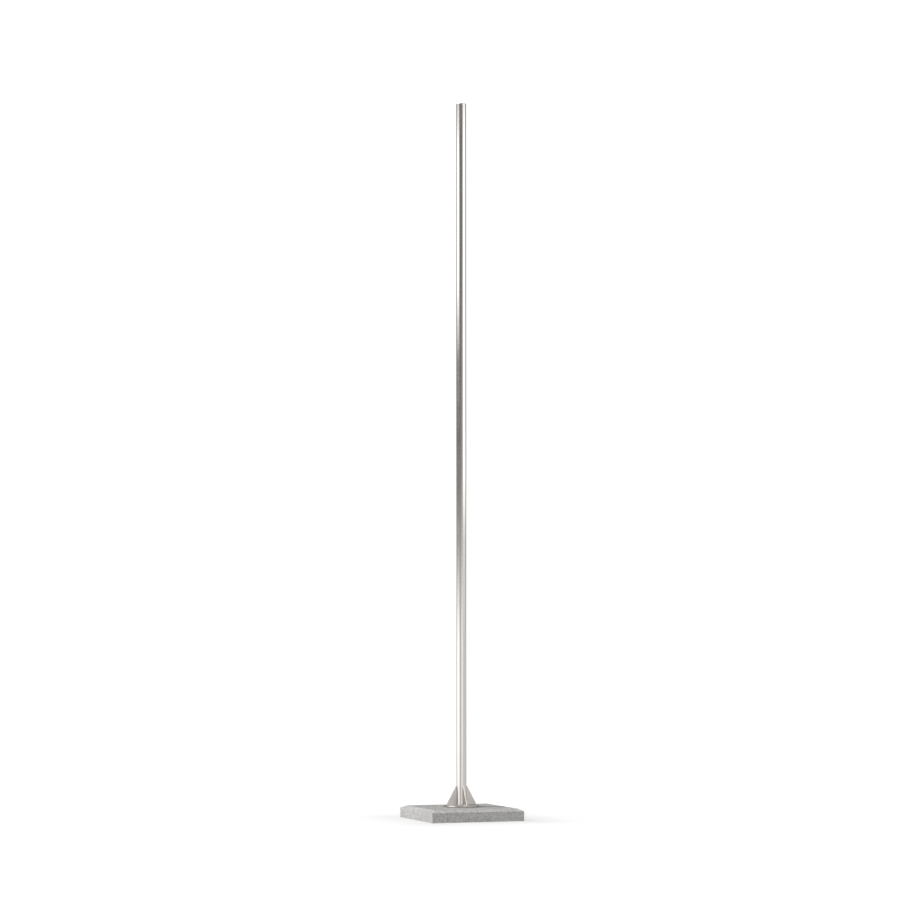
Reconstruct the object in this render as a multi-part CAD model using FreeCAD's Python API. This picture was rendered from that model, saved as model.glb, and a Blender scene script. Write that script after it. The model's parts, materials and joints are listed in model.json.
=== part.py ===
"""Flag pole stand, in millimetres, +Z up.

A stainless steel tube stands on a round plate and is braced by four gussets. Four countersunk screws
hold the plate to sockets cast into a square concrete slab. The origin is the centre of the slab's
underside. X and Y run along the slab's sides, and the front of the stand faces -Y.
"""

import FreeCAD
import Part
import math
import os

# Concrete slab
SLAB_SIDE = 400.0
SLAB_THICKNESS = 50.0
SLAB_BEVEL_WIDTH = 20.0
SLAB_BEVEL_DROP = 10.0
SLAB_CORNER_RADIUS = 1.5

# Round plate under the pole
FLANGE_DIAMETER = 148.0
FLANGE_THICKNESS = 8.0
FLANGE_TOP_RADIUS = 1.5
FLANGE_BOTTOM_CHAMFER = 0.5

# Pole: a standard 42.4 x 2 tube. The foot is linished 0.05 under size after welding, then blends out.
TUBE_DIAMETER = 42.4
TUBE_WALL = 2.0
POLE_HEIGHT = 2950.0
LINISH_DEPTH = 0.05
LINISH_ABOVE_GUSSET = 4.0
LINISH_BLEND = 3.0

# Cap knocked into the top of the tube
CAP_DISC = 3.0
CAP_EDGE_CHAMFER = 0.6
CAP_SPIGOT_LENGTH = 16.0
CAP_SPIGOT_WALL = 3.0
CAP_SPIGOT_CLEARANCE = 0.3
CAP_RIB_COUNT = 3
CAP_RIB_HEIGHT = 1.5

# Gussets
GUSSET_FOOT = 45.0
GUSSET_HEIGHT = 80.0
GUSSET_THICKNESS = 5.0
GUSSET_TOP_WIDTH = 2.0
GUSSET_TIP_HEIGHT = 2.0
GUSSETS = {"gusset_right": 0.0, "gusset_back": 90.0, "gusset_left": 180.0, "gusset_front": 270.0}

# Fillet welds
TUBE_WELD_LEG = 3.0
GUSSET_WELD_LEG = 2.0
GUSSET_WELD_END_GAP = 4.0

# Countersunk M8 screws with a hexagon socket, on a circle between the gussets
SCREW_CIRCLE_DIAMETER = 105.0
SCREW_ANGLES = (45.0, 135.0, 225.0, 315.0)
SCREW_RADIUS = 4.0
SCREW_LENGTH = 40.0
SCREW_HEAD_RADIUS = 8.0
SCREW_HEAD_LAND = 0.5
SCREW_TIP_CHAMFER = 0.8
SCREW_HEX_WIDTH = 5.0
SCREW_HEX_DEPTH = 3.0
HEAD_CLEARANCE = 0.1
SCREW_HOLE_RADIUS = 4.5

# Threaded sockets cast into the slab
SOCKET_RADIUS = 6.5
SOCKET_LENGTH = 38.0
SOCKET_BORE_DEPTH = 33.0
SOCKET_FOOT_RADIUS = 10.0
SOCKET_FOOT_THICKNESS = 3.0

# Welded wire mat cast into the slab
WIRE_RADIUS = 2.5
WIRE_LENGTH = 340.0
WIRE_PITCH = 75.0
WIRES_EACH_WAY = 5
LOWER_WIRE_HEIGHT = 20.0
WIRE_FUSION = 0.4

UP = FreeCAD.Vector(0, 0, 1)
ORIGIN = FreeCAD.Vector(0, 0, 0)
TUBE_RADIUS = TUBE_DIAMETER / 2
BORE_RADIUS = TUBE_RADIUS - TUBE_WALL
FOOT_RADIUS = TUBE_RADIUS - LINISH_DEPTH
FLANGE_TOP = SLAB_THICKNESS + FLANGE_THICKNESS
POLE_TOP = FLANGE_TOP + POLE_HEIGHT
TUBE_TOP = POLE_TOP - CAP_DISC
GUSSET_TOP = FLANGE_TOP + GUSSET_HEIGHT
LINISH_TOP = GUSSET_TOP + LINISH_ABOVE_GUSSET


def face_from(points):
    """A flat face with straight sides through the points, which are vectors."""
    return Part.Face(Part.makePolygon(points + points[:1]))


def revolved(profile):
    """A solid turned about the Z axis from (radius, height) points."""
    points = [FreeCAD.Vector(radius, 0, height) for radius, height in profile]
    return face_from(points).revolve(ORIGIN, UP, 360)


def turned_to(shape, angle):
    """A copy turned about the Z axis by an angle in degrees."""
    copy = shape.copy()
    copy.rotate(ORIGIN, UP, angle)
    return copy


def at_screws(shape):
    """A list with a copy of the shape at each screw position."""
    moved = shape.translated(FreeCAD.Vector(SCREW_CIRCLE_DIAMETER / 2, 0, 0))
    return [turned_to(moved, angle) for angle in SCREW_ANGLES]


def rounded_square(side, radius, height):
    """A closed square outline with rounded corners, centred on the Z axis."""
    half = side / 2
    centre = half - radius
    bend = centre + radius * math.sqrt(0.5)
    outline = [(half, -centre), (half, centre), (bend, bend), (centre, half)]
    edges = []
    for quarter in range(4):
        spin = FreeCAD.Rotation(UP, 90 * quarter)
        start, end, middle, last = (
            spin.multVec(FreeCAD.Vector(x, y, height)) for x, y in outline
        )
        edges += [Part.makeLine(start, end), Part.Arc(end, middle, last).toShape()]
    return Part.Wire(edges)


def pole_outer():
    """The tube's outside as a solid bar, with the linished foot and its blend."""
    return revolved(
        [
            (0, FLANGE_TOP),
            (FOOT_RADIUS, FLANGE_TOP),
            (FOOT_RADIUS, LINISH_TOP),
            (TUBE_RADIUS, LINISH_TOP + LINISH_BLEND),
            (TUBE_RADIUS, TUBE_TOP),
            (0, TUBE_TOP),
        ]
    )


def pole_tube():
    bore = Part.makeCylinder(BORE_RADIUS, POLE_HEIGHT, FreeCAD.Vector(0, 0, FLANGE_TOP))
    return pole_outer().cut(bore)


def pole_end_cap():
    """A disc flush with the tube, on a hollow spigot whose ribs grip the bore."""
    neck = BORE_RADIUS - CAP_SPIGOT_CLEARANCE
    hollow = neck - CAP_SPIGOT_WALL
    bottom = TUBE_TOP - CAP_SPIGOT_LENGTH
    rib_pitch = CAP_SPIGOT_LENGTH / CAP_RIB_COUNT
    ribs = []
    for index in reversed(range(CAP_RIB_COUNT)):
        rib_bottom = bottom + rib_pitch * (index + 0.5) - CAP_RIB_HEIGHT / 2
        ribs += [
            (neck, rib_bottom + CAP_RIB_HEIGHT + CAP_SPIGOT_CLEARANCE),
            (BORE_RADIUS, rib_bottom + CAP_RIB_HEIGHT),
            (neck, rib_bottom),
        ]
    disc = [
        (0, POLE_TOP),
        (TUBE_RADIUS - CAP_EDGE_CHAMFER, POLE_TOP),
        (TUBE_RADIUS, POLE_TOP - CAP_EDGE_CHAMFER),
        (TUBE_RADIUS, TUBE_TOP),
        (neck, TUBE_TOP),
    ]
    inside = [(neck, bottom), (hollow, bottom), (hollow, TUBE_TOP), (0, TUBE_TOP)]
    return revolved(disc + ribs + inside)


def level_rim(shape, height):
    """The round edge that lies level at a height."""
    for edge in shape.Edges:
        box = edge.BoundBox
        if isinstance(edge.Curve, Part.Circle) and abs(box.ZMin - height) + box.ZLength < 0.01:
            return edge


def base_flange():
    """A round plate with a softened rim and four countersunk holes."""
    plate = Part.makeCylinder(
        FLANGE_DIAMETER / 2, FLANGE_THICKNESS, FreeCAD.Vector(0, 0, SLAB_THICKNESS)
    )
    plate = plate.makeFillet(FLANGE_TOP_RADIUS, [level_rim(plate, FLANGE_TOP)])
    plate = plate.makeChamfer(FLANGE_BOTTOM_CHAMFER, [level_rim(plate, SLAB_THICKNESS)])
    seat = SCREW_HEAD_RADIUS + HEAD_CLEARANCE
    land_bottom = FLANGE_TOP - SCREW_HEAD_LAND + HEAD_CLEARANCE
    hole = revolved(
        [
            (0, SLAB_THICKNESS),
            (SCREW_HOLE_RADIUS, SLAB_THICKNESS),
            (SCREW_HOLE_RADIUS, land_bottom - (seat - SCREW_HOLE_RADIUS)),
            (seat, land_bottom),
            (seat, FLANGE_TOP),
            (0, FLANGE_TOP),
        ]
    )
    return plate.cut(Part.makeCompound(at_screws(hole)))


def gusset():
    """The right-hand gusset: a near-triangular plate in the XZ plane, coped to the tube."""
    tip = FOOT_RADIUS + GUSSET_FOOT
    half = GUSSET_THICKNESS / 2
    outline = [
        (BORE_RADIUS, FLANGE_TOP),
        (tip, FLANGE_TOP),
        (tip, FLANGE_TOP + GUSSET_TIP_HEIGHT),
        (FOOT_RADIUS + GUSSET_TOP_WIDTH, GUSSET_TOP),
        (BORE_RADIUS, GUSSET_TOP),
    ]
    side = face_from([FreeCAD.Vector(x, -half, z) for x, z in outline])
    return side.extrude(FreeCAD.Vector(0, GUSSET_THICKNESS, 0)).cut(pole_outer())


def tube_weld():
    """The fillet weld between the tube and the plate, in four arcs between the gussets."""
    ring = revolved(
        [
            (FOOT_RADIUS, FLANGE_TOP),
            (FOOT_RADIUS + TUBE_WELD_LEG, FLANGE_TOP),
            (FOOT_RADIUS, FLANGE_TOP + TUBE_WELD_LEG),
        ]
    )
    gussets = [turned_to(gusset(), angle) for angle in GUSSETS.values()]
    return ring.cut(Part.makeCompound(gussets))


def gusset_weld():
    """The weld along the +Y side of the right-hand gusset: along its foot, then up the tube."""
    half = GUSSET_THICKNESS / 2
    leg = GUSSET_WELD_LEG
    foot_end = FOOT_RADIUS + GUSSET_FOOT - GUSSET_WELD_END_GAP
    foot_length = foot_end - BORE_RADIUS
    foot = face_from(
        [
            FreeCAD.Vector(BORE_RADIUS, half, FLANGE_TOP),
            FreeCAD.Vector(BORE_RADIUS, half + leg, FLANGE_TOP),
            FreeCAD.Vector(BORE_RADIUS, half, FLANGE_TOP + leg),
        ]
    ).extrude(FreeCAD.Vector(foot_length, 0, 0))
    on_gusset = math.sqrt(FOOT_RADIUS**2 - half**2) + leg
    on_tube = math.sqrt(FOOT_RADIUS**2 - (half + leg) ** 2)
    upright = face_from(
        [
            FreeCAD.Vector(BORE_RADIUS - leg, half, FLANGE_TOP),
            FreeCAD.Vector(on_gusset, half, FLANGE_TOP),
            FreeCAD.Vector(on_tube, half + leg, FLANGE_TOP),
            FreeCAD.Vector(BORE_RADIUS - leg, half + leg, FLANGE_TOP),
        ]
    ).extrude(UP * (GUSSET_HEIGHT - GUSSET_WELD_END_GAP))
    return foot.fuse(upright).cut(pole_outer()).cut(tube_weld())


def gusset_welds():
    """Both sides of every gusset."""
    one_side = gusset_weld()
    other_side = one_side.mirror(ORIGIN, FreeCAD.Vector(0, 1, 0))
    beads = [
        turned_to(side, angle) for angle in GUSSETS.values() for side in (one_side, other_side)
    ]
    return Part.makeCompound([solid for bead in beads for solid in bead.Solids])


def flange_screws():
    neck_top = FLANGE_TOP - SCREW_HEAD_LAND
    tip = FLANGE_TOP - SCREW_LENGTH
    body = revolved(
        [
            (0, tip),
            (SCREW_RADIUS - SCREW_TIP_CHAMFER, tip),
            (SCREW_RADIUS, tip + SCREW_TIP_CHAMFER),
            (SCREW_RADIUS, neck_top - (SCREW_HEAD_RADIUS - SCREW_RADIUS)),
            (SCREW_HEAD_RADIUS, neck_top),
            (SCREW_HEAD_RADIUS, FLANGE_TOP),
            (0, FLANGE_TOP),
        ]
    )
    across_corners = SCREW_HEX_WIDTH / math.sqrt(3)
    corners = [
        FreeCAD.Vector(
            across_corners * math.cos(math.radians(60 * side)),
            across_corners * math.sin(math.radians(60 * side)),
            FLANGE_TOP - SCREW_HEX_DEPTH,
        )
        for side in range(6)
    ]
    recess = face_from(corners).extrude(UP * SCREW_HEX_DEPTH)
    return Part.makeCompound(at_screws(body.cut(recess)))


def socket_outside():
    """A threaded socket's outside as a solid, which is also the space it takes in the slab."""
    bottom = SLAB_THICKNESS - SOCKET_LENGTH
    return revolved(
        [
            (0, bottom),
            (SOCKET_FOOT_RADIUS, bottom),
            (SOCKET_FOOT_RADIUS, bottom + SOCKET_FOOT_THICKNESS),
            (SOCKET_RADIUS, bottom + SOCKET_FOOT_THICKNESS),
            (SOCKET_RADIUS, SLAB_THICKNESS),
            (0, SLAB_THICKNESS),
        ]
    )


def anchor_sockets():
    bore = Part.makeCylinder(
        SCREW_RADIUS, SOCKET_BORE_DEPTH, FreeCAD.Vector(0, 0, SLAB_THICKNESS - SOCKET_BORE_DEPTH)
    )
    return Part.makeCompound(at_screws(socket_outside().cut(bore)))


def reinforcing_mesh():
    """Two layers of wires that cross at right angles and are fused where they touch."""
    upper_height = LOWER_WIRE_HEIGHT + 2 * WIRE_RADIUS - WIRE_FUSION
    half = WIRE_LENGTH / 2
    wires = []
    for index in range(WIRES_EACH_WAY):
        offset = WIRE_PITCH * (index - (WIRES_EACH_WAY - 1) / 2)
        lower_start = FreeCAD.Vector(-half, offset, LOWER_WIRE_HEIGHT)
        upper_start = FreeCAD.Vector(offset, -half, upper_height)
        wires += [
            Part.makeCylinder(WIRE_RADIUS, WIRE_LENGTH, lower_start, FreeCAD.Vector(1, 0, 0)),
            Part.makeCylinder(WIRE_RADIUS, WIRE_LENGTH, upper_start, FreeCAD.Vector(0, 1, 0)),
        ]
    return wires[0].fuse(wires[1:])


def concrete_slab():
    """A square slab bevelled round its top edge, cast around the sockets and the wire mat."""
    shoulder = SLAB_THICKNESS - SLAB_BEVEL_DROP
    foot = rounded_square(SLAB_SIDE, SLAB_CORNER_RADIUS, 0)
    rim = rounded_square(SLAB_SIDE, SLAB_CORNER_RADIUS, shoulder)
    top_side = SLAB_SIDE - 2 * SLAB_BEVEL_WIDTH
    top = rounded_square(top_side, SLAB_CORNER_RADIUS, SLAB_THICKNESS)
    body = Part.Face(foot).extrude(UP * shoulder)
    bevel = Part.makeLoft([rim, top], True, True)
    inserts = at_screws(socket_outside()) + [reinforcing_mesh()]
    return body.fuse(bevel).removeSplitter().cut(Part.makeCompound(inserts))


def write(name, shape):
    """Writes one named piece as STEP, after checking that it is made of closed solids."""
    if not shape.Solids or not shape.isValid():
        raise ValueError(f"{name} is not a valid solid")
    shape.exportStep(f"parts/{name}.step")


def main():
    os.makedirs("parts", exist_ok=True)
    write("concrete_slab", concrete_slab())
    write("reinforcing_mesh", reinforcing_mesh())
    write("anchor_sockets", anchor_sockets())
    write("base_flange", base_flange())
    write("flange_screws", flange_screws())
    write("pole_tube", pole_tube())
    write("pole_end_cap", pole_end_cap())
    write("tube_weld", tube_weld())
    write("gusset_welds", gusset_welds())
    for name, angle in GUSSETS.items():
        write(name, turned_to(gusset(), angle))


main()
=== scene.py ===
"""Looks for the flag pole stand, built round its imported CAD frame. Lengths are in metres."""

import json
import math
import random

import bmesh
import bpy
from mathutils import Matrix, Vector, kdtree, noise

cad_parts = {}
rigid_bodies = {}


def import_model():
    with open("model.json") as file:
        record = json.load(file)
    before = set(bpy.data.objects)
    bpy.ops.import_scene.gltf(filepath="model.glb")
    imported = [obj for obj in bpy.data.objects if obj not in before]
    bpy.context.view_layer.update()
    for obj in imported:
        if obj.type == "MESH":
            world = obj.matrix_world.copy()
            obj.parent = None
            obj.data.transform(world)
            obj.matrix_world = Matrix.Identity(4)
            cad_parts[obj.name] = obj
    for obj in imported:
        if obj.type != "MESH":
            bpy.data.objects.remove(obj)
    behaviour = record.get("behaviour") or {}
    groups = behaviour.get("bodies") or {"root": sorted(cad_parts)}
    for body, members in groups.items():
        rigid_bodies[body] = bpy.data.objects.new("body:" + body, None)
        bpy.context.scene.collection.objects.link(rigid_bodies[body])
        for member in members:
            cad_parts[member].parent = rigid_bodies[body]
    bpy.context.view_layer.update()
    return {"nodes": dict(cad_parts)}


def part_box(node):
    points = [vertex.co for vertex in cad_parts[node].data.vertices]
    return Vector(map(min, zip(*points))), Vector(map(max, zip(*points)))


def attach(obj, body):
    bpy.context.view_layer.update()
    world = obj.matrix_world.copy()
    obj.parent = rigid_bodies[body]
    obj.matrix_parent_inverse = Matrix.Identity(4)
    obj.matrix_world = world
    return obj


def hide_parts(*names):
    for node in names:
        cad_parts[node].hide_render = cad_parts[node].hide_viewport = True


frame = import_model()

MM = 0.001
SEED = 4212

# Sizes taken from the frame
SLAB_LOW, SLAB_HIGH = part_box("concrete_slab")
FLANGE_LOW, FLANGE_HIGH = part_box("base_flange")
TUBE_LOW, TUBE_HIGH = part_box("pole_tube")
CAP_LOW, CAP_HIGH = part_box("pole_end_cap")
GUSSET_LOW, GUSSET_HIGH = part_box("gusset_right")
SCREW_LOW, SCREW_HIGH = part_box("flange_screws")

SLAB_HALF = SLAB_HIGH.x
SLAB_TOP = SLAB_HIGH.z
FLANGE_TOP = FLANGE_HIGH.z
FLANGE_RADIUS = FLANGE_HIGH.x
TUBE_RADIUS = TUBE_HIGH.x

# Sizes that the frame's boxes don't give
SLAB_BEVEL_WIDTH = 20 * MM
SLAB_BEVEL_DROP = 10 * MM
SLAB_CORNER_RADIUS = 1.5 * MM
SLAB_ARRIS = 0.8 * MM
TUBE_WALL = 2 * MM
FOOT_RADIUS = TUBE_RADIUS - 0.05 * MM
GUSSET_TIP_HEIGHT = 2 * MM
GUSSET_TOP_WIDTH = 2 * MM
GUSSET_EDGE = 0.45 * MM
SCREW_CIRCLE = 52.5 * MM
HEAD_RADIUS = 8 * MM
SHANK_RADIUS = 4 * MM
HEAD_RIM = 0.5 * MM
HOLE_RADIUS = 4.5 * MM
HEX_WIDTH = 5 * MM
HEX_DEPTH = 3 * MM
TUBE_WELD_LEG = 2.9 * MM
GUSSET_WELD_LEG = 1.9 * MM
WELD_RIPPLE = 1.7 * MM
GUSSET_ANGLES = {"gusset_right": 0, "gusset_back": 90, "gusset_left": 180, "gusset_front": 270}
SCREW_ANGLES = (45, 135, 225, 315)
HEX_TURNS = (7, 37, 52, 22)


# ---------------------------------------------------------------- mesh helpers


def add_object(name, bm, material, sharp_angle=35):
    """Turns a bmesh into an object with smooth shading that breaks at sharp edges."""
    bmesh.ops.recalc_face_normals(bm, faces=bm.faces)
    mesh = bpy.data.meshes.new(name)
    bm.to_mesh(mesh)
    bm.free()
    mesh.shade_smooth()
    mesh.set_sharp_from_angle(angle=math.radians(sharp_angle))
    mesh.materials.append(material)
    obj = bpy.data.objects.new(name, mesh)
    bpy.context.scene.collection.objects.link(obj)
    normals = obj.modifiers.new("flat_faces_stay_flat", "WEIGHTED_NORMAL")
    normals.keep_sharp = True
    return obj


def stand_for(obj, node):
    """Lets a new piece take the place of a CAD node on the stand's one rigid body."""
    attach(obj, "root")
    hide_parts(node)


def rounded(points, radii, steps):
    """A polyline of (x, z) points with an arc of the given radius at each inner corner."""
    out = [Vector(points[0])]
    for before, corner, after, radius in zip(points, points[1:], points[2:], radii):
        corner = Vector(corner)
        back = (Vector(before) - corner).normalized()
        ahead = (Vector(after) - corner).normalized()
        if radius <= 0:
            out.append(corner)
            continue
        half_angle = back.angle(ahead) / 2
        reach = radius / math.tan(half_angle)
        centre = corner + (back + ahead).normalized() * (radius / math.sin(half_angle))
        start = corner + back * reach - centre
        sweep = (corner + ahead * reach - centre).angle_signed(start)
        for step in range(steps + 1):
            turn = Matrix.Rotation(sweep * step / steps, 2)
            out.append(centre + turn @ start)
    out.append(Vector(points[-1]))
    return out


def lathe(profile, segments):
    """A bmesh turned about the Z axis. A point with no radius becomes one vertex on the axis."""
    bm = bmesh.new()
    rings = []
    for radius, height in profile:
        if radius <= 0:
            rings.append([bm.verts.new((0, 0, height))] * segments)
            continue
        ring = []
        for index in range(segments):
            angle = 2 * math.pi * index / segments
            ring.append(bm.verts.new((radius * math.cos(angle), radius * math.sin(angle), height)))
        rings.append(ring)
    for lower, upper in zip(rings, rings[1:]):
        for index in range(segments):
            after = (index + 1) % segments
            corners = [lower[index], lower[after], upper[after], upper[index]]
            corners = list(dict.fromkeys(corners))
            if len(corners) > 2:
                bm.faces.new(corners)
    return bm


def close_rings(bm, rings):
    """Adds the faces between rings of equal count, and one at each end."""
    for lower, upper in zip(rings, rings[1:]):
        for index in range(len(lower)):
            after = (index + 1) % len(lower)
            bm.faces.new((lower[index], lower[after], upper[after], upper[index]))
    bm.faces.new(reversed(rings[0]))
    bm.faces.new(rings[-1])


def turned(bm, angle, offset=(0, 0, 0)):
    """Moves a bmesh by an offset, then turns it about the Z axis by an angle in degrees."""
    bm.transform(Matrix.Rotation(math.radians(angle), 4, "Z") @ Matrix.Translation(offset))
    return bm


def joined(bmeshes):
    """One bmesh that holds all the given ones."""
    whole = bmesh.new()
    for bm in bmeshes:
        mesh = bpy.data.meshes.new("part")
        bm.to_mesh(mesh)
        bm.free()
        whole.from_mesh(mesh)
        bpy.data.meshes.remove(mesh)
    return whole


def carved(bm, cutters):
    """The bmesh with other closed bmeshes cut out of it, and the cut's slivers merged."""
    sliver = 0.001 * MM
    scene = bpy.context.scene
    objects = []
    for shape in (bm, joined(cutters)):
        bmesh.ops.recalc_face_normals(shape, faces=shape.faces)
        mesh = bpy.data.meshes.new("carving")
        shape.to_mesh(mesh)
        shape.free()
        obj = bpy.data.objects.new("carving", mesh)
        scene.collection.objects.link(obj)
        objects.append(obj)
    modifier = objects[0].modifiers.new("cut", "BOOLEAN")
    modifier.operation = "DIFFERENCE"
    modifier.solver = "EXACT"
    modifier.object = objects[1]
    graph = bpy.context.evaluated_depsgraph_get()
    mesh = bpy.data.meshes.new_from_object(objects[0].evaluated_get(graph))
    result = bmesh.new()
    result.from_mesh(mesh)
    bmesh.ops.remove_doubles(result, verts=result.verts, dist=sliver)
    bmesh.ops.dissolve_degenerate(result, edges=result.edges, dist=sliver)
    for obj in objects:
        bpy.data.objects.remove(obj)
    return result


# ---------------------------------------------------------------- materials


class Nodes:
    """A short way to write a node tree: each call adds a node and returns one of its outputs."""

    def __init__(self, tree):
        self.tree = tree
        tree.nodes.clear()

    def add(self, kind, inputs=None, output=0, **settings):
        node = self.tree.nodes.new(kind)
        for key, value in settings.items():
            setattr(node, key, value)
        for key, value in (inputs or {}).items():
            if isinstance(value, bpy.types.NodeSocket):
                self.tree.links.new(value, node.inputs[key])
            else:
                node.inputs[key].default_value = value
        return node.outputs[output]

    def math(self, operation, a, b=0.0):
        return self.add("ShaderNodeMath", {0: a, 1: b}, operation=operation)

    def remap(self, value, low, high, new_low, new_high):
        inputs = {0: value, 1: low, 2: high, 3: new_low, 4: new_high}
        return self.add("ShaderNodeMapRange", inputs, interpolation_type="SMOOTHSTEP")

    def noise(self, vector, scale, detail, roughness):
        inputs = {"Vector": vector, "Scale": scale, "Detail": detail, "Roughness": roughness}
        return self.add("ShaderNodeTexNoise", inputs)

    def stretched(self, vector, scale):
        return self.add("ShaderNodeMapping", {"Vector": vector, "Scale": scale})

    def blend(self, share, first, second, mode="MIX"):
        inputs = {"Factor": share, 6: first, 7: second}
        return self.add("ShaderNodeMix", inputs, 2, data_type="RGBA", blend_type=mode)


def new_material(name):
    material = bpy.data.materials.new(name)
    material.use_nodes = True
    return material, Nodes(material.node_tree)


def finish_material(nodes, colour, metallic, roughness, height, bump, strength):
    relief = nodes.add("ShaderNodeBump", {"Height": height, "Distance": bump, "Strength": strength})
    inputs = {"Base Color": colour, "Metallic": metallic, "Roughness": roughness, "Normal": relief}
    shader = nodes.add("ShaderNodeBsdfPrincipled", inputs)
    out = nodes.tree.nodes.new("ShaderNodeOutputMaterial")
    nodes.tree.links.new(shader, out.inputs["Surface"])


def brushed_steel(name, colour, grain, roughness, smudge=0.05):
    """Satin steel. The grain gives the pattern's fineness along each axis, per metre."""
    material, nodes = new_material(name)
    place = nodes.add("ShaderNodeTexCoord", output=3)
    lines = nodes.noise(nodes.stretched(place, grain), 1.0, 4.0, 0.65)
    clouds = nodes.noise(place, 9.0, 3.0, 0.55)
    shade = nodes.remap(lines, 0.3, 0.7, 0.93, 1.05)
    tint = nodes.add("ShaderNodeCombineColor", {0: shade, 1: shade, 2: shade})
    base = nodes.blend(1.0, (*colour, 1), tint, "MULTIPLY")
    from_lines = nodes.remap(lines, 0.25, 0.75, -0.04, 0.05)
    from_clouds = nodes.remap(clouds, 0.3, 0.7, roughness - smudge, roughness + smudge)
    rough = nodes.math("ADD", from_lines, from_clouds)
    finish_material(nodes, base, 1.0, rough, lines, 0.02 * MM, 0.35)
    return material


# Painted light and shade on the slab: how much lighter its bevels and how much darker its top are
# painted, next to its sides
BEVEL_PAINTED_LIGHT = 1.07
TOP_PAINTED_SHADE = 0.93
DARK_SAND = (0.2, 0.197, 0.193, 1)
PALE_SAND = (0.428, 0.424, 0.417, 1)
# Painted shade inside the air holes
AIR_HOLE_PAINTED_SHADE = (0.08, 0.078, 0.075, 1)
# Grains in the concrete: cells per metre, size in a cell, share of cells, how strong, and colour
GRAINS = (
    (210.0, 0.3, 0.2, 0.45, (0.17, 0.167, 0.163, 1)),
    (95.0, 0.24, 0.16, 0.6, (0.14, 0.137, 0.133, 1)),
    (75.0, 0.2, 0.12, 0.6, (0.23, 0.17, 0.12, 1)),
    (150.0, 0.26, 0.12, 0.5, (0.55, 0.545, 0.53, 1)),
)


def concrete():
    """Pale cast concrete: sandy at every scale, with dark, rusty and pale grains and small air holes."""
    material, nodes = new_material("cast_concrete")
    place = nodes.add("ShaderNodeTexCoord", output=3)
    sand = nodes.noise(place, 130.0, 7.0, 0.86)
    clouds = nodes.noise(place, 15.0, 3.0, 0.5)
    blotches = nodes.noise(place, 62.0, 2.0, 0.6)
    tone = nodes.math("ADD", sand, nodes.remap(clouds, 0.3, 0.7, -0.015, 0.015))
    tone = nodes.math("ADD", tone, nodes.remap(blotches, 0.3, 0.7, -0.024, 0.024))
    colour = nodes.blend(nodes.remap(tone, 0.34, 0.66, 0.0, 1.0), DARK_SAND, PALE_SAND)

    def grains(scale, size, soft, share):
        """A mask of roundish grains with ragged edges, for the given share of the cells."""
        ragged = 0.3
        voronoi = nodes.tree.nodes.new("ShaderNodeTexVoronoi")
        voronoi.inputs["Scale"].default_value = scale
        nodes.tree.links.new(place, voronoi.inputs["Vector"])
        chance = nodes.add("ShaderNodeSeparateColor", {0: voronoi.outputs["Color"]})
        chosen = nodes.math("LESS_THAN", chance, share)
        distance = nodes.math("ADD", voronoi.outputs["Distance"], nodes.math("MULTIPLY", sand, ragged))
        limit = size + ragged / 2
        inside = nodes.remap(distance, limit - soft, limit + soft, 1.0, 0.0)
        return nodes.math("MULTIPLY", inside, chosen)

    for scale, size, share, strength, shade in GRAINS:
        mask = grains(scale, size, 0.06, share)
        colour = nodes.blend(nodes.math("MULTIPLY", mask, strength), colour, shade)
    # Painted light and shade: by the way each face looks, the bevels are painted lighter and the top is
    # painted darker
    facing = nodes.add("ShaderNodeSeparateXYZ", {0: nodes.add("ShaderNodeTexCoord", output=1)}, 2)
    bevel_painted_light = nodes.remap(facing, 0.5, 0.8, 1.0, BEVEL_PAINTED_LIGHT)
    top_painted_shade = nodes.remap(facing, 0.93, 0.98, 0.0, TOP_PAINTED_SHADE - BEVEL_PAINTED_LIGHT)
    painted_light_gain = nodes.math("ADD", bevel_painted_light, top_painted_shade)
    painted_light_gain = nodes.add("ShaderNodeCombineColor", {0: painted_light_gain, 1: painted_light_gain, 2: painted_light_gain})
    colour = nodes.blend(1.0, colour, painted_light_gain, "MULTIPLY")
    # Air holes are sunk in the relief and painted near-black inside, as painted shade in the holes
    holes = grains(75.0, 0.07, 0.03, 0.3)
    sunk_and_painted_shade = nodes.math("MULTIPLY", holes, 0.7)
    colour = nodes.blend(sunk_and_painted_shade, colour, AIR_HOLE_PAINTED_SHADE)
    relief = nodes.math("SUBTRACT", sand, sunk_and_painted_shade)
    rough = nodes.remap(sand, 0.35, 0.65, 0.84, 0.97)
    finish_material(nodes, colour, 0.0, rough, relief, 1.2 * MM, 0.5)
    return material


def rusty_wire():
    """Dark drawn wire with patches of rust."""
    material, nodes = new_material("rusty_wire")
    place = nodes.add("ShaderNodeTexCoord", output=3)
    blotch = nodes.noise(place, 180.0, 4.0, 0.7)
    rusted = nodes.remap(blotch, 0.4, 0.6, 0.0, 1.0)
    base = nodes.blend(rusted, (0.12, 0.1, 0.09, 1), (0.3, 0.13, 0.06, 1))
    rough = nodes.remap(blotch, 0.3, 0.7, 0.6, 0.95)
    finish_material(nodes, base, 0.0, rough, blotch, 0.2 * MM, 0.8)
    return material


steel_tube = brushed_steel("satin_tube", (0.58, 0.552, 0.523), (70, 70, 5200), 0.088, 0.02)
steel_plate = brushed_steel("satin_plate", (0.49, 0.463, 0.436), (5200, 5200, 90), 0.3)
steel_flange = brushed_steel("satin_flange", (0.52, 0.494, 0.468), (90, 5200, 90), 0.11, 0.02)
steel_screw = brushed_steel("turned_screws", (0.6, 0.58, 0.56), (900, 900, 900), 0.24)
steel_weld = brushed_steel("weld_bead", (0.36, 0.337, 0.315), (700, 700, 700), 0.46)
zinc_socket = brushed_steel("zinc_sockets", (0.55, 0.56, 0.56), (300, 300, 300), 0.4)


# ---------------------------------------------------------------- concrete slab

POINTS_AROUND = 4 * 168
RING_STEP = 2.2 * MM
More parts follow.
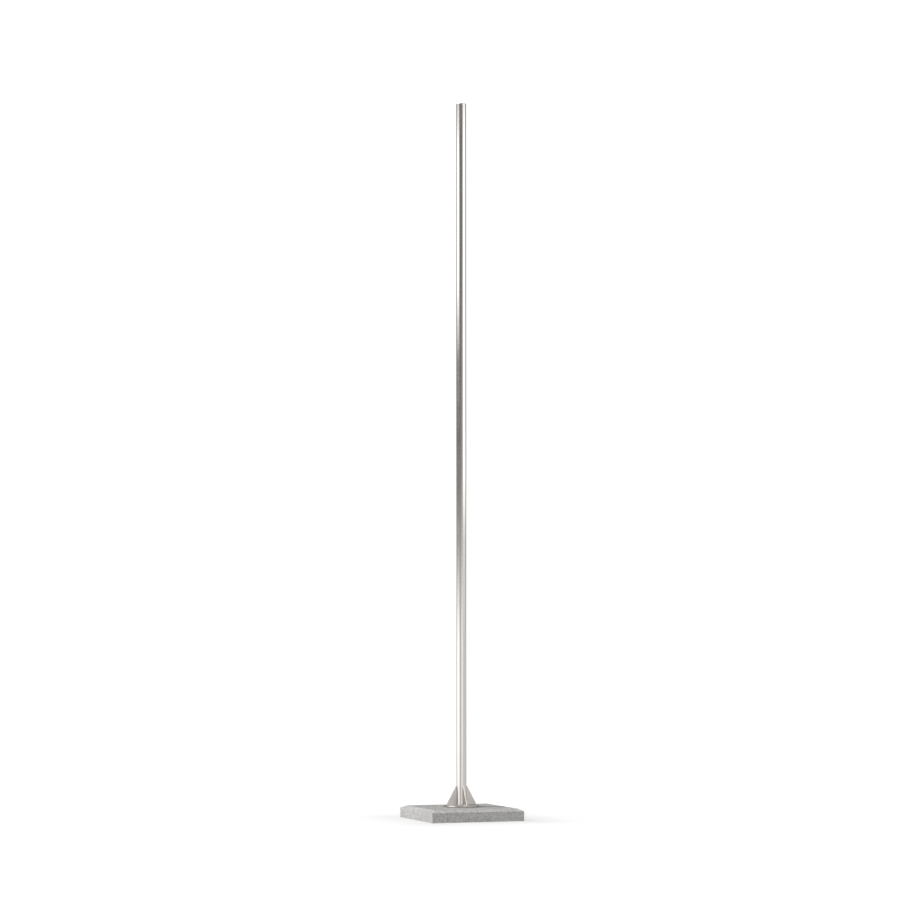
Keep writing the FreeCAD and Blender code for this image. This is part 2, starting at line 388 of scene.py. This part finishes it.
# The rings of the slab's top stay square for this width inside the bevel, and the last one, under
# the plate, is round
SQUARE_RIM = 8 * MM
LAST_RING_HALF = 66 * MM
# Share of each side's points that goes to its corner
CORNER_SHARE = 0.03
# Small blows to the skin and to the edges: how many, radius in mm and depth in mm
DENTS = (260, (2.2, 3.8), (0.3, 1.0))
CHIPS = (46, (3.0, 6.0), (0.5, 1.3))
# How many grains of sand and how many broad swells there are to a metre
SAND_SCALE = 260
SWELL_SCALE = 22


def square_point(share, half, corner):
    """A point at a share of the way round a rounded square. Each side has an equal share."""
    quarter = int(share * 4) % 4
    along = share * 4 - int(share * 4)
    straight = half - corner
    if along < 1 - CORNER_SHARE:
        y = straight * (2 * along / (1 - CORNER_SHARE) - 1)
        point = Vector((half, y, 0))
    else:
        angle = math.pi / 2 * (along - 1 + CORNER_SHARE) / CORNER_SHARE
        centre = Vector((straight, straight, 0))
        point = centre + Vector((math.cos(angle), math.sin(angle), 0)) * corner
    return Matrix.Rotation(math.pi / 2 * quarter, 3, "Z") @ point


def slab_rings():
    """(inset from the side, height, how round) for each ring, from the underside to under the plate."""
    last_inset = SLAB_HALF - LAST_RING_HALF
    outline = [
        (SLAB_ARRIS * 2, SLAB_LOW.z),
        (0, SLAB_LOW.z),
        (0, SLAB_TOP - SLAB_BEVEL_DROP),
        (SLAB_BEVEL_WIDTH, SLAB_TOP),
        (last_inset, SLAB_TOP),
    ]
    corners = rounded(outline, (SLAB_ARRIS, SLAB_ARRIS, SLAB_ARRIS), 3)
    rings = []
    for start, end in zip(corners, corners[1:]):
        count = max(1, round((end - start).length / RING_STEP))
        rings += [start.lerp(end, index / count) for index in range(count)]
    rings.append(corners[-1])
    square_until = SLAB_BEVEL_WIDTH + SQUARE_RIM
    run = last_inset - square_until
    return [(ring.x, ring.y, max(0.0, (ring.x - square_until) / run)) for ring in rings]


def on_edge(point):
    """Whether a point is by the foot of the bevel or near one of the slab's upright corners."""
    by_bevel = abs(point.z - (SLAB_TOP - SLAB_BEVEL_DROP)) < 1.2 * MM
    on_diagonal = abs(abs(point.x) - abs(point.y)) < 3 * MM
    far_out = max(abs(point.x), abs(point.y)) > SLAB_HALF - 10 * MM
    return by_bevel or (on_diagonal and far_out)


def weather(bm, rng):
    """Pushes the slab's skin inwards, except at its foot: sandy unevenness, dents and chipped edges."""
    bm.normal_update()
    tree = kdtree.KDTree(len(bm.verts))
    for vert in bm.verts:
        tree.insert(vert.co, vert.index)
    tree.balance()
    depth = {}
    verts = list(bm.verts)
    for vert in verts:
        fine = noise.fractal(vert.co * SAND_SCALE, 0.8, 2.1, 3)
        broad = noise.noise(vert.co * SWELL_SCALE)
        depth[vert.index] = max(0.0, 0.1 + 0.09 * fine + 0.06 * broad) * MM
    spots = [vert for vert in verts if vert.co.z > 3 * MM]
    edges = [vert for vert in spots if on_edge(vert.co)]
    blows = []
    for places, (count, radii, depths) in ((spots, DENTS), (edges, CHIPS)):
        for _ in range(count):
            centre = rng.choice(places).co
            radius = rng.uniform(*radii) * MM
            blows.append((centre, radius, rng.uniform(*depths) * MM))
    for centre, radius, deep in blows:
        for _, index, distance in tree.find_range(centre, radius):
            share = 0.5 + 0.5 * math.cos(math.pi * distance / radius)
            depth[index] = max(depth[index], deep * share)
    for vert in verts:
        if vert.co.z > 1.5 * MM:
            vert.co -= vert.normal * depth[vert.index]


def build_slab():
    bm = bmesh.new()
    rings = []
    for inset, height, roundness in slab_rings():
        half = SLAB_HALF - inset
        ring = []
        for index in range(POINTS_AROUND):
            point = square_point(index / POINTS_AROUND, half, SLAB_CORNER_RADIUS)
            disc = Vector((point.x, point.y, 0)).normalized() * half
            point = point.lerp(disc, roundness**2)
            ring.append(bm.verts.new((point.x, point.y, height)))
        rings.append(ring)
    close_rings(bm, rings)
    bm.verts.index_update()
    weather(bm, random.Random(SEED))
    stand_for(add_object("slab_body", bm, concrete(), 60), "concrete_slab")


# ---------------------------------------------------------------- pole, plate and cap

BORE_RADIUS = TUBE_RADIUS - TUBE_WALL
SAWN_EDGE = 0.15 * MM
ROUND_SEGMENTS = 128


def build_tube():
    """The pole, very slightly thinner at its foot, where it is linished round the welds."""
    foot_end = GUSSET_HIGH.z + 4 * MM
    outline = [
        (BORE_RADIUS, TUBE_LOW.z),
        (FOOT_RADIUS, TUBE_LOW.z),
        (FOOT_RADIUS, foot_end),
        (TUBE_RADIUS, foot_end + 3 * MM),
        (TUBE_RADIUS, TUBE_HIGH.z),
        (BORE_RADIUS, TUBE_HIGH.z),
        (BORE_RADIUS, TUBE_LOW.z),
    ]
    bm = lathe(rounded(outline, (0, 0, 0, SAWN_EDGE, SAWN_EDGE), 2), ROUND_SEGMENTS)
    bmesh.ops.remove_doubles(bm, verts=bm.verts, dist=1e-7)
    stand_for(add_object("pole", bm, steel_tube), "pole_tube")


def build_cap():
    """The cap's disc, with a hair-line gap above the tube, and its hollow spigot."""
    neck = BORE_RADIUS - 0.3 * MM
    hollow = neck - 3 * MM
    disc_foot = TUBE_HIGH.z + 0.15 * MM
    outline = [
        (0, CAP_HIGH.z),
        (TUBE_RADIUS, CAP_HIGH.z),
        (TUBE_RADIUS, disc_foot),
        (neck, disc_foot),
        (neck, CAP_LOW.z),
        (hollow, CAP_LOW.z),
        (hollow, TUBE_HIGH.z),
        (0, TUBE_HIGH.z),
    ]
    bm = lathe(rounded(outline, (0.9 * MM, SAWN_EDGE, 0, 0.5 * MM, 0.2 * MM, 0), 4), ROUND_SEGMENTS)
    stand_for(add_object("end_cap", bm, steel_screw), "pole_end_cap")


def build_flange():
    """The round base plate, with four countersunk holes that have a small chamfer."""
    outline = [
        (0, FLANGE_LOW.z),
        (FLANGE_RADIUS, FLANGE_LOW.z),
        (FLANGE_RADIUS, FLANGE_TOP),
        (0, FLANGE_TOP),
    ]
    plate = lathe(rounded(outline, (0.5 * MM, 1.5 * MM), 6), 192)
    seat = HEAD_RADIUS + 0.15 * MM
    land = FLANGE_TOP - HEAD_RIM
    chamfer = 0.25 * MM
    hole = [
        (0, FLANGE_LOW.z - MM),
        (HOLE_RADIUS, FLANGE_LOW.z - MM),
        (HOLE_RADIUS, land - (seat - HOLE_RADIUS)),
        (seat, land),
        (seat, FLANGE_TOP - chamfer),
        (seat + 2 * chamfer, FLANGE_TOP + chamfer),
        (0, FLANGE_TOP + chamfer),
    ]
    cutters = [turned(lathe(hole, 64), angle, (SCREW_CIRCLE, 0, 0)) for angle in SCREW_ANGLES]
    plate = carved(plate, cutters)
    stand_for(add_object("flange", plate, steel_flange), "base_flange")


def screw(turn):
    """A countersunk screw with a softened rim and a chamfered hexagon recess, turned by an angle."""
    head_start = FLANGE_TOP - HEAD_RIM - (HEAD_RADIUS - SHANK_RADIUS)
    outline = [
        (0, SCREW_LOW.z),
        (SHANK_RADIUS, SCREW_LOW.z),
        (SHANK_RADIUS, head_start),
        (HEAD_RADIUS, FLANGE_TOP - HEAD_RIM),
        (HEAD_RADIUS, FLANGE_TOP),
        (0, FLANGE_TOP),
    ]
    body = lathe(rounded(outline, (0.8 * MM, 0, 0, 0.3 * MM), 3), 64)
    hex_corner = HEX_WIDTH / math.sqrt(3)
    hexagon = [
        (0, FLANGE_TOP - HEX_DEPTH - 0.8 * MM),
        (hex_corner, FLANGE_TOP - HEX_DEPTH),
        (hex_corner, FLANGE_TOP + MM),
        (0, FLANGE_TOP + MM),
    ]
    lead_in = [
        (0, FLANGE_TOP - 0.9 * MM),
        (HEX_WIDTH / 2 - 0.15 * MM, FLANGE_TOP - 0.6 * MM),
        (HEX_WIDTH / 2 + 0.75 * MM, FLANGE_TOP + 0.3 * MM),
        (0, FLANGE_TOP + 0.3 * MM),
    ]
    body = carved(body, [turned(lathe(hexagon, 6), turn)])
    return carved(body, [turned(lathe(lead_in, 64), -turn)])


def build_screws():
    placed = [
        turned(screw(turn), angle, (SCREW_CIRCLE, 0, 0)) for angle, turn in zip(SCREW_ANGLES, HEX_TURNS)
    ]
    stand_for(add_object("screws", joined(placed), steel_screw), "flange_screws")


# ---------------------------------------------------------------- gussets and welds

GUSSET_HALF = GUSSET_HIGH.y
# Where a gusset's side meets the tube, and the direction of the tube's surface there
GUSSET_INNER = math.sqrt(FOOT_RADIUS**2 - GUSSET_HALF**2)
GUSSET_TILT = math.asin(GUSSET_HALF / FOOT_RADIUS)
BEAD_PITCH = 0.45 * MM


def gusset():
    """The right-hand gusset, laser cut, with softened edges."""
    outline = [
        (GUSSET_INNER, GUSSET_LOW.z),
        (GUSSET_HIGH.x, GUSSET_LOW.z),
        (GUSSET_HIGH.x, GUSSET_LOW.z + GUSSET_TIP_HEIGHT),
        (FOOT_RADIUS + GUSSET_TOP_WIDTH, GUSSET_HIGH.z),
        (GUSSET_INNER, GUSSET_HIGH.z),
    ]
    bm = bmesh.new()
    corners = [bm.verts.new((x, -GUSSET_HALF, z)) for x, z in outline]
    face = bm.faces.new(corners)
    new = bmesh.ops.extrude_face_region(bm, geom=[face])["geom"]
    moved = [item for item in new if isinstance(item, bmesh.types.BMVert)]
    bmesh.ops.translate(bm, verts=moved, vec=(0, 2 * GUSSET_HALF, 0))
    edges = list(bm.edges)
    bmesh.ops.bevel(bm, geom=edges, offset=GUSSET_EDGE, segments=3, profile=0.5, affect="EDGES")
    return bm


def build_gussets():
    for name, angle in GUSSET_ANGLES.items():
        bm = turned(gusset(), angle)
        piece = add_object(f"{name}_plate", bm, steel_plate)
        stand_for(piece, name)


def bead(path, leg):
    """A fillet weld along a path of (corner, direction along one face, direction along the other)."""
    bm = bmesh.new()
    across = 7
    rings = []
    travelled = 0.0
    length = sum((b[0] - a[0]).length for a, b in zip(path, path[1:]))
    for index, (corner, first, second) in enumerate(path):
        if index:
            travelled += (corner - path[index - 1][0]).length
        wave = abs(math.sin(math.pi * travelled / WELD_RIPPLE))
        from_end = min(travelled, length - travelled)
        size = leg * (0.9 + 0.1 * wave) * min(1.0, 0.45 + 0.55 * from_end / leg)
        outward = (first + second).normalized()
        crown = size * 0.1 * (1 + wave)
        ring = [bm.verts.new(corner)]
        for step in range(across):
            share = step / (across - 1)
            flat = corner + (first * (1 - share) + second * share) * size
            ring.append(bm.verts.new(flat + outward * crown * math.sin(math.pi * share)))
        rings.append(ring)
    close_rings(bm, rings)
    return bm


def build_tube_weld():
    """Four arcs round the tube's foot, between the gussets."""
    up = Vector((0, 0, 1))
    sweep = math.pi / 2 - 2 * GUSSET_TILT
    steps = 90
    arcs = []
    for quarter in range(4):
        path = []
        for step in range(steps + 1):
            angle = math.pi / 2 * quarter + GUSSET_TILT + sweep * step / steps
            out = Vector((math.cos(angle), math.sin(angle), 0))
            path.append((out * FOOT_RADIUS + up * FLANGE_TOP, out, up))
        arcs.append(bead(path, TUBE_WELD_LEG))
    piece = add_object("tube_weld_bead", joined(arcs), steel_weld, 50)
    stand_for(piece, "tube_weld")


def straight_path(start, end, first, second):
    """Points along a straight corner for a bead, about one pitch apart."""
    steps = round((end - start).length / BEAD_PITCH)
    return [(start.lerp(end, step / steps), first, second) for step in range(steps + 1)]


def build_gusset_welds():
    """Along each gusset's foot and up the tube, on both of its sides."""
    short = 4 * MM
    up = Vector((0, 0, 1))
    along = Vector((1, 0, 0))
    beads = []
    for angle in GUSSET_ANGLES.values():
        for side in (1, -1):
            out = Vector((0, side, 0))
            tangent = Vector((-math.sin(GUSSET_TILT), side * math.cos(GUSSET_TILT), 0))
            root = Vector((GUSSET_INNER, side * GUSSET_HALF, FLANGE_TOP))
            foot_end = Vector((GUSSET_HIGH.x - short, root.y, root.z))
            upright_end = Vector((root.x, root.y, GUSSET_HIGH.z - short))
            foot = straight_path(root, foot_end, out, up)
            upright = straight_path(root, upright_end, along, tangent)
            beads += [turned(bead(line, GUSSET_WELD_LEG), angle) for line in (foot, upright)]
    piece = add_object("gusset_weld_beads", joined(beads), steel_weld, 50)
    stand_for(piece, "gusset_welds")


def finish_hidden_steel():
    """The sockets and the wire mat stay as packed, inside the slab, with their own finishes."""
    for node, material in (("anchor_sockets", zinc_socket), ("reinforcing_mesh", rusty_wire())):
        obj = frame["nodes"][node]
        for material_slot in obj.material_slots:
            material_slot.link = "OBJECT"
            material_slot.material = material


# ---------------------------------------------------------------- floor, light and camera

CAMERA_TURN = math.radians(-20.13)
CAMERA_DISTANCE = 9.876
CAMERA_HEIGHT = 0.669
CAMERA_SIDESTEP = -0.0474
CAMERA_PITCH = math.radians(5.0)
LENS_MM = 94.54

# Soft panels in the room's light: left and right bearing from the camera, low and high rise, in
# degrees, and how much light each adds, or takes away
SOFT_PANELS = (
    (-118, -45.6, 8.2, 13.0, 2.2),
    (-118, -20, 2.9, 5.4, -0.1),
    (-110, -43, -3.6, 1.5, 1.25),
    (35, 108, 3.6, 14.0, 1.9),
    (35, 85, 1.0, 3.4, 0.34),
    (-2, 34, 1.6, 9.5, 0.14),
    (60, 105, -60, 3.6, 0.1),
    (-6, 42, -3.6, 1.8, 0.6),
    (-5, 40, 26, 60, 0.9),
    (-104, -58, 24, 52, 3.2),
    (-20, 50, 17, 28, 1.5),
    (-200, -128, -95, -5.6, -0.5),
    (-98, -54, -95, -5.6, 0.6),
    (-36, 0, -95, -5.6, -0.6),
    (54, 88, -95, -5.6, 0.6),
    (112, 146, -95, -5.6, -0.6),
)
PANEL_SOFT_ACROSS = 8.0
PANEL_SOFT_UPRIGHT = 1.2
# The room's own light falls from ROOM_LOW to ROOM_HIGH over the first range of rise, in degrees,
# and changes by ROOM_TOP over the second
ROOM_RISE = (-0.5, 6.5)
ROOM_LOW = 0.84
ROOM_HIGH = 0.28
ROOM_TOP_RISE = (16.0, 30.0)
ROOM_TOP = -0.12
WHITE_TO_CAMERA = 1.1
# Far lamps: name, bearing, rise and spread in degrees, strength, and whether it gives highlights
LAMPS = (
    ("left_lamp", -80, 41, 9, 3.3, False),
    ("right_lamp", 80, 34, 12, 0.9, False),
    ("left_sheen", -76, 42, 50, 3.4, True),
    ("right_sheen", 52, 46, 30, 0.36, True),
    ("back_sheen", -122, 36, 38, 0.4, True),
)
FLOOR_RADIUS = 0.56
FLOOR_SHADE = 0.4
FLOOR_GLOW = 0.8
# Painted shadow on the floor round the slab: how far beyond the slab it reaches, in metres, and how much
# of the floor's glow it takes away
PAINTED_SHADOW_REACH = 0.24
PAINTED_SHADOW_DEPTH = 0.19

TO_CAMERA = Vector((math.sin(CAMERA_TURN), -math.cos(CAMERA_TURN), 0))
CAMERA_RIGHT = Vector((math.cos(CAMERA_TURN), math.sin(CAMERA_TURN), 0))
# The painted shadow sits a little to the camera's right
PAINTED_SHADOW_OFFSET = CAMERA_RIGHT * 0.025


def build_camera():
    data = bpy.data.cameras.new("camera")
    data.lens = LENS_MM
    data.sensor_width = 36
    data.clip_end = 100
    camera = bpy.data.objects.new("camera", data)
    bpy.context.scene.collection.objects.link(camera)
    camera.location = TO_CAMERA * CAMERA_DISTANCE + CAMERA_RIGHT * CAMERA_SIDESTEP
    camera.location.z = CAMERA_HEIGHT
    aim = -TO_CAMERA * math.cos(CAMERA_PITCH) + Vector((0, 0, math.sin(CAMERA_PITCH)))
    camera.rotation_mode = "QUATERNION"
    camera.rotation_quaternion = aim.to_track_quat("-Z", "Y")
    bpy.context.scene.camera = camera


def lamp(name, bearing, rise, spread, strength, highlights):
    """A far lamp, to the right of the camera by its bearing. It gives highlights or else plain light."""
    data = bpy.data.lights.new(name, "SUN")
    data.energy = strength
    data.angle = math.radians(spread)
    light = bpy.data.objects.new(name, data)
    bpy.context.scene.collection.objects.link(light)
    angle = math.radians(bearing)
    level = TO_CAMERA * math.cos(angle) + CAMERA_RIGHT * math.sin(angle)
    slope = math.radians(rise)
    out = level * math.cos(slope) + Vector((0, 0, math.sin(slope)))
    light.rotation_mode = "QUATERNION"
    light.rotation_quaternion = (-out).to_track_quat("-Z", "Y")
    light.visible_glossy = highlights
    light.visible_diffuse = not highlights
    return light


def build_world():
    """Plain white to the camera. To the stand it is a room, paler below, with soft panels all round."""
    world = bpy.data.worlds.new("studio")
    bpy.context.scene.world = world
    world.use_nodes = True
    nodes = Nodes(world.node_tree)
    direction = nodes.add("ShaderNodeTexCoord", output=0)
    turned_to_camera = nodes.add(
        "ShaderNodeVectorRotate", {"Vector": direction, "Angle": -CAMERA_TURN}, rotation_type="Z_AXIS"
    )
    xyz = nodes.tree.nodes.new("ShaderNodeSeparateXYZ")
    nodes.tree.links.new(turned_to_camera, xyz.inputs[0])
    ahead = nodes.math("MULTIPLY", xyz.outputs[1], -1.0)
    bearing = nodes.math("DEGREES", nodes.math("ARCTAN2", xyz.outputs[0], ahead))
    rise = nodes.math("DEGREES", nodes.math("ARCSINE", xyz.outputs[2]))

    def window(value, low, high, soft):
        rising = nodes.remap(value, low - soft, low + soft, 0.0, 1.0)
        falling = nodes.remap(value, high - soft, high + soft, 1.0, 0.0)
        return nodes.math("MULTIPLY", rising, falling)

    total = nodes.remap(rise, *ROOM_RISE, ROOM_LOW, ROOM_HIGH)
    total = nodes.math("ADD", total, nodes.remap(rise, *ROOM_TOP_RISE, 0.0, ROOM_TOP))
    for left, right, low, high, radiance in SOFT_PANELS:
        across = window(bearing, left, right, PANEL_SOFT_ACROSS)
        upright = window(rise, low, high, PANEL_SOFT_UPRIGHT)
        shape = nodes.math("MULTIPLY", across, upright)
        total = nodes.math("ADD", total, nodes.math("MULTIPLY", shape, radiance))
    lit = nodes.add("ShaderNodeBackground", {"Strength": total, "Color": (1, 1, 1, 1)})
    white = nodes.add("ShaderNodeBackground", {"Strength": WHITE_TO_CAMERA, "Color": (1, 1, 1, 1)})
    seen = nodes.add("ShaderNodeLightPath", output=0)
    mixed = nodes.add("ShaderNodeMixShader", {0: seen, 1: lit, 2: white})
    out = nodes.tree.nodes.new("ShaderNodeOutputWorld")
    nodes.tree.links.new(mixed, out.inputs["Surface"])


def build_floor():
    """A self-lit white disc with a painted soft shadow round the slab's foot."""
    bm = lathe([(0, 0), (FLOOR_RADIUS, 0)], 96)
    material, nodes = new_material("pale_floor")
    place = nodes.add("ShaderNodeTexCoord", output=3)
    centred = nodes.add("ShaderNodeVectorMath", {0: place, 1: -PAINTED_SHADOW_OFFSET}, operation="ADD")
    mirrored = nodes.add("ShaderNodeVectorMath", {0: centred}, operation="ABSOLUTE")
    edge = (SLAB_HALF, SLAB_HALF, 0)
    outside = nodes.add("ShaderNodeVectorMath", {0: mirrored, 1: edge}, operation="SUBTRACT")
    beyond = nodes.add("ShaderNodeVectorMath", {0: outside, 1: (0, 0, 0)}, operation="MAXIMUM")
    distance = nodes.add("ShaderNodeVectorMath", {0: beyond}, 1, operation="LENGTH")
    # The glow is lowered near the slab: a painted shadow
    glow = nodes.remap(distance, -0.1, PAINTED_SHADOW_REACH, FLOOR_GLOW - PAINTED_SHADOW_DEPTH, FLOOR_GLOW)
    diffuse = nodes.add("ShaderNodeBsdfDiffuse", {"Color": (FLOOR_SHADE,) * 3 + (1,)})
    lit = nodes.add("ShaderNodeEmission", {"Color": (1, 1, 1, 1), "Strength": glow})
    both = nodes.add("ShaderNodeAddShader", {0: diffuse, 1: lit})
    out = nodes.tree.nodes.new("ShaderNodeOutputMaterial")
    nodes.tree.links.new(both, out.inputs["Surface"])
    add_object("floor", bm, material)


def build_studio():
    scene = bpy.context.scene
    scene.view_settings.view_transform = "Standard"
    scene.view_settings.look = "None"
    build_world()
    build_floor()
    lamps = [lamp(*settings) for settings in LAMPS]
    stand = bpy.data.collections.new("lit_by_lamps")
    for obj in scene.objects:
        if obj.type == "MESH" and obj.name != "floor":
            stand.objects.link(obj)
    for light in lamps:
        light.light_linking.receiver_collection = stand
    build_camera()


build_slab()
build_tube()
build_cap()
build_flange()
build_screws()
build_gussets()
build_tube_weld()
build_gusset_welds()
finish_hidden_steel()
build_studio()
